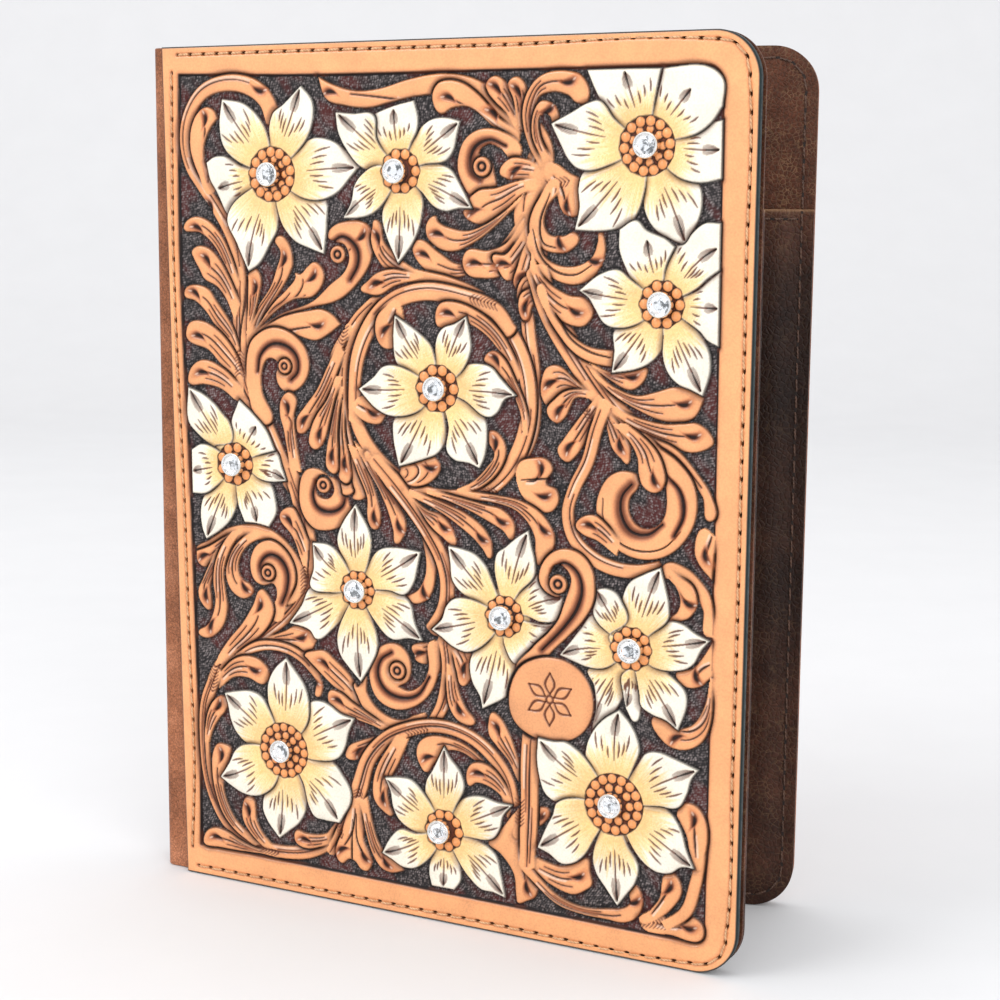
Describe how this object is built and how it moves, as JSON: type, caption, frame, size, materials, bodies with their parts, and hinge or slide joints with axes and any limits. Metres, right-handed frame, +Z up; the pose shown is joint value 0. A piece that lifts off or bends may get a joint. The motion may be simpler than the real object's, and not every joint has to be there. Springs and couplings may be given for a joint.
{
  "type": "leather notebook cover",
  "caption": "Standing leather notebook cover with a carved floral front panel, stitched edges, crystal flower centres, inner pockets and two hinged covers on a spine.",
  "frame": {"origin": "centre of the spine leather's bottom face, on the surface the cover stands on", "axes": "+Z up along the spine, +X along the closed front cover from the spine to the fore-edge, -Y the side that the carved front face looks to"},
  "size_m": [0.1992, 0.0696, 0.26],
  "materials": {
    "carved_leather": "vegetable-tanned leather, carved and stamped, antiqued, painted ivory petals, glossy top coat",
    "wrap_leather": "fine-pebbled brown leather, satin",
    "lining_leather": "dark brown grained lining leather with light creases, waxy sheen",
    "pocket_leather": "dark brown grained pocket leather with light creases, waxy sheen",
    "stiffener_board": "plain grey board, hidden inside the covers",
    "thread": "waxed beige saddle-stitch thread",
    "crystal": "clear faceted crystal, foiled back",
    "stone_cups": "bright plated metal"
  },
  "bodies": {
    "spine": {"spine_leather": "wrap_leather", "spine_lining": "lining_leather", "spine_head_thread": "thread", "spine_foot_thread": "thread"},
    "front_cover": {"front_tooled_panel": "carved_leather", "front_gutter_leather": "wrap_leather", "front_stiffener": "stiffener_board", "front_lining": "lining_leather", "front_pocket": "pocket_leather", "front_edge_thread": "thread", "front_gutter_thread": "thread", "front_pocket_hem_thread": "thread", "rhinestone_01": "crystal", "rhinestone_02": "crystal", "rhinestone_03": "crystal", "rhinestone_04": "crystal", "rhinestone_05": "crystal", "rhinestone_06": "crystal", "rhinestone_07": "crystal", "rhinestone_08": "crystal", "rhinestone_09": "crystal", "rhinestone_10": "crystal", "rhinestone_11": "crystal", "rhinestone_12": "crystal", "rhinestone_cup_01": "stone_cups", "rhinestone_cup_02": "stone_cups", "rhinestone_cup_03": "stone_cups", "rhinestone_cup_04": "stone_cups", "rhinestone_cup_05": "stone_cups", "rhinestone_cup_06": "stone_cups", "rhinestone_cup_07": "stone_cups", "rhinestone_cup_08": "stone_cups", "rhinestone_cup_09": "stone_cups", "rhinestone_cup_10": "stone_cups", "rhinestone_cup_11": "stone_cups", "rhinestone_cup_12": "stone_cups"},
    "back_cover": {"back_outer_leather": "wrap_leather", "back_stiffener": "stiffener_board", "back_lining": "lining_leather", "back_pocket": "pocket_leather", "back_edge_thread": "thread", "back_pocket_hem_thread": "thread"}
  },
  "joints": [
    {"name": "front_hinge", "type": "hinge", "parent": "spine", "child": "front_cover", "pos_m": [0.00085, -0.007, 0], "axis": [0, 0, -1], "range_deg": [0, 90]},
    {"name": "back_hinge", "type": "hinge", "parent": "spine", "child": "back_cover", "pos_m": [0.00085, 0.007, 0], "axis": [0, 0, 1], "range_deg": [-13.77, 76.23]}
  ]
}
